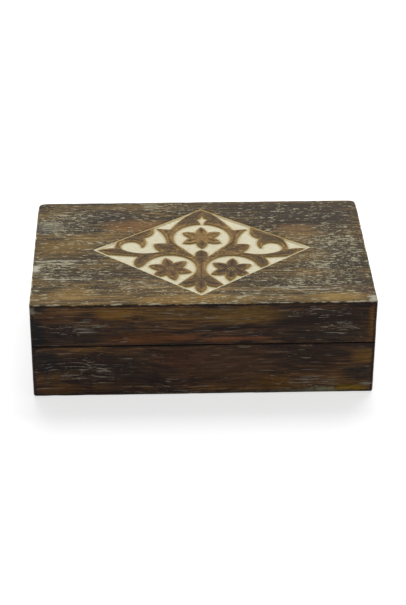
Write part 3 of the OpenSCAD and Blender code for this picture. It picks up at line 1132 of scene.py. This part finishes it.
# %% Paint skin
paint_step = 0.42
paint_high = 0.4
paint_thick = 0.3
wall_gap = 0.12
paint = grid_sheet("lime_paint_fill", paint_step, 0.0)
spots = read_points(paint)
flat, nearest, gap, cut_away = read_outline(paint)
keep = cut_away & (gap > wall_gap) & (diamond_gap(flat) > rim_groove + 0.3)
level = [0.07 * noise.noise(Vector((x * 0.5, y * 1.1, 3))) for x, y in flat]
creep = 0.16 * np.clip(1 - gap / 0.9, 0, 1) ** 2
spots[:, 2] = top_z + (-carving_deep + paint_high + np.array(level) + creep) * MM
write_points(paint, spots)
write_attribute(paint, "wall_mm", gap)
edit(paint)
pick(paint, "VERT", lambda point: not keep[point.index])
bpy.ops.mesh.delete(type="VERT")
leave_edit()
thicken(paint, paint_thick * MM)
smooth(paint, 50)
paint.data.materials.append(lime_paint)
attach(paint, "lid")
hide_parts("carving_lime_paint")
print("paint:", triangles(paint), "triangles")

# %% [markdown]
# ## Felt on the floor
# A piece of pressed wool felt lies on the floor of the base and keeps the dice quiet. Felt has no
# weave: it is a mat of short fibres, so its finish is fine noise at three scales with sheen. The
# sheet is a grid that gets a soft uneven top, and Solidify gives it its thickness.

# %% Felt finish
bench = Bench("green felt")
fuzz = bench.noise(bench.place, 3.2, 5, 0.75)
clumps = bench.noise(bench.place, 0.5, 3, 0.6)
wear_marks = bench.noise(bench.place, 0.035, 3, 0.5)
colour = bench.mix(bench.step(fuzz, 0.3, 0.7), tone(36, 60, 42), tone(62, 92, 66))
colour = bench.mix(bench.step(clumps, 0.4, 0.7, 0, 0.35), colour, tone(78, 104, 78))
colour = bench.mix(bench.step(wear_marks, 0.45, 0.75, 0, 0.4), colour, tone(52, 76, 52))
green_felt = bench.finish(
    Base_Color=colour, Roughness=0.95, Specular_IOR_Level=0.1, Sheen_Weight=0.35,
    Sheen_Roughness=0.45, Sheen_Tint=tone(150, 180, 150),
    Normal=bench.bump(bench.weigh((1, fuzz), (0.6, clumps)), 0.3, 0.8))

# %% Felt sheet
low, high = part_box("base_felt_liner")
size = high - low
middle = ((low.x + high.x) / 2, (low.y + high.y) / 2, high.z)
felt = flat_grid("felt_liner", middle, (size.x, size.y), (122, 71))
for point in felt.data.vertices:
    edge = min(high.x - abs(point.co.x), high.y - abs(point.co.y))
    soft = 0.3 * MM * max(0.0, 1 - edge / (1.5 * MM)) ** 2
    point.co.z -= soft + 0.12 * MM * (0.5 + 0.5 * noise.noise(point.co * 60))
thicken(felt, size.z - 0.25 * MM)
for point in felt.data.vertices:
    point.co.z = max(point.co.z, low.z)
smooth(felt, 50)
felt.data.materials.append(green_felt)
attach(felt, "base")
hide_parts("base_felt_liner")
print("felt:", [round(n / MM, 1) for n in size], "mm")

# %% [markdown]
# ## Brass hinges and screws
# Stamped brass butt hinges are bright only where they rub. Elsewhere they carry a brown film that
# is darkest in corners. Their solids already have the true shape, so each is copied, its loose
# triangles are merged, and a small bevel takes the sharpness off its edges so that they catch light.

# %% Brass finish
bench = Bench("aged brass")
film = bench.noise(bench.place, 0.35, 4, 0.6)
specks = bench.noise(bench.place, 2.2, 3, 0.6)
lines = bench.fibres(bench.place, 0.4, 6, 2, 0.5)
colour = bench.mix(bench.step(film, 0.35, 0.65), tone(100, 79, 46), tone(162, 132, 80))
colour = bench.mix(bench.step(specks, 0.58, 0.72, 0, 0.6), colour, tone(84, 66, 42))
rough = bench.plus(bench.step(film, 0.3, 0.7, 0.6, 0.38), bench.times(lines, 0.12))
normal = bench.bump(bench.plus(lines, specks), 0.03, 0.5)
aged_brass = bench.finish(Base_Color=colour, Metallic=0.9, Roughness=rough, Normal=normal)

# %% Metal dresser
def dress_metal(node, body, name, edge_mm):
    """A merged copy of a metal solid with its edges broken."""
    piece = nodes[node].copy()
    piece.data = nodes[node].data.copy()
    piece.name = name
    piece.parent = None
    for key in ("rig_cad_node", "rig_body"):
        if key in piece:
            del piece[key]
    bpy.context.scene.collection.objects.link(piece)
    edit(piece)
    bpy.ops.mesh.select_all(action="SELECT")
    bpy.ops.mesh.remove_doubles(threshold=0.002 * MM)
    bpy.ops.mesh.dissolve_limited(angle_limit=math.radians(1.0))
    leave_edit()
    bevel = piece.modifiers.new("broken edges", "BEVEL")
    bevel.width = edge_mm * MM
    bevel.segments = 2
    bevel.limit_method = "ANGLE"
    bevel.angle_limit = math.radians(40)
    apply_all(piece)
    smooth(piece, 40)
    piece.data.materials.clear()
    piece.data.materials.append(aged_brass)
    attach(piece, body)
    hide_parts(node)
    print(name, triangles(piece), "triangles")


# %% Hinges and screws
for side in ("left", "right"):
    dress_metal(f"{side}_hinge_base_leaf", "base", f"{side}_lower_leaf", 0.08)
    dress_metal(f"{side}_hinge_lid_leaf", "lid", f"{side}_upper_leaf", 0.08)
    dress_metal(f"{side}_hinge_pin", "base", f"{side}_pin", 0.05)
dress_metal("base_hinge_screws", "base", "lower_screws", 0.04)
dress_metal("lid_hinge_screws", "lid", "upper_screws", 0.04)

# %% [markdown]
# ## Table and light
# The box stands on a plain white sheet under soft studio light: a large soft lamp overhead and a
# little behind, and pale surroundings. The sheet is a mid white that is lifted to paper white for
# the camera alone, so the box's soft shadow stays but the light on the box isn't raised.

# %% Table
def camera_white(bench, strength):
    """Factor that is strength for rays from the camera, mirrors and glass, and 0 for light."""
    path = bench.add("LightPath", {}).node.outputs
    seen = bench.math("MAXIMUM", path["Is Camera Ray"], path["Is Glossy Ray"])
    seen = bench.math("MAXIMUM", seen, path["Is Transmission Ray"])
    return bench.times(seen, strength)


bpy.ops.mesh.primitive_plane_add(size=8)
table = bpy.context.object
table.name = "white_table"
bench = Bench("white sheet")
white = bench.finish(
    Base_Color=(0.6, 0.6, 0.605, 1), Roughness=0.9, Specular_IOR_Level=0.1,
    Emission_Color=(1, 1, 1, 1), Emission_Strength=camera_white(bench, 0.65))
table.data.materials.append(white)
table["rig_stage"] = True

# %% Light
world = bpy.data.worlds.new("studio")
bpy.context.scene.world = world
sky = Nodes(world)
background = sky.tree.nodes["Background"].inputs
sky.put((1, 1, 1, 1), background["Color"])
sky.put(sky.plus(camera_white(sky, 0.7), 0.3), background["Strength"])

bpy.ops.object.light_add(type="AREA", location=(0.12, 0.75, 1.35))
lamp = bpy.context.object
lamp.name = "overhead softbox"
lamp.data.shape = "RECTANGLE"
lamp.data.size = 1.2
lamp.data.size_y = 0.8
lamp.data.energy = 19
lamp.rotation_euler = (-lamp.location).to_track_quat("-Z", "Y").to_euler()
bpy.context.scene.view_settings.view_transform = "Standard"

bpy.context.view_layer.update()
total = sum(triangles(piece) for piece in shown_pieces())
print("object:", total, "triangles")
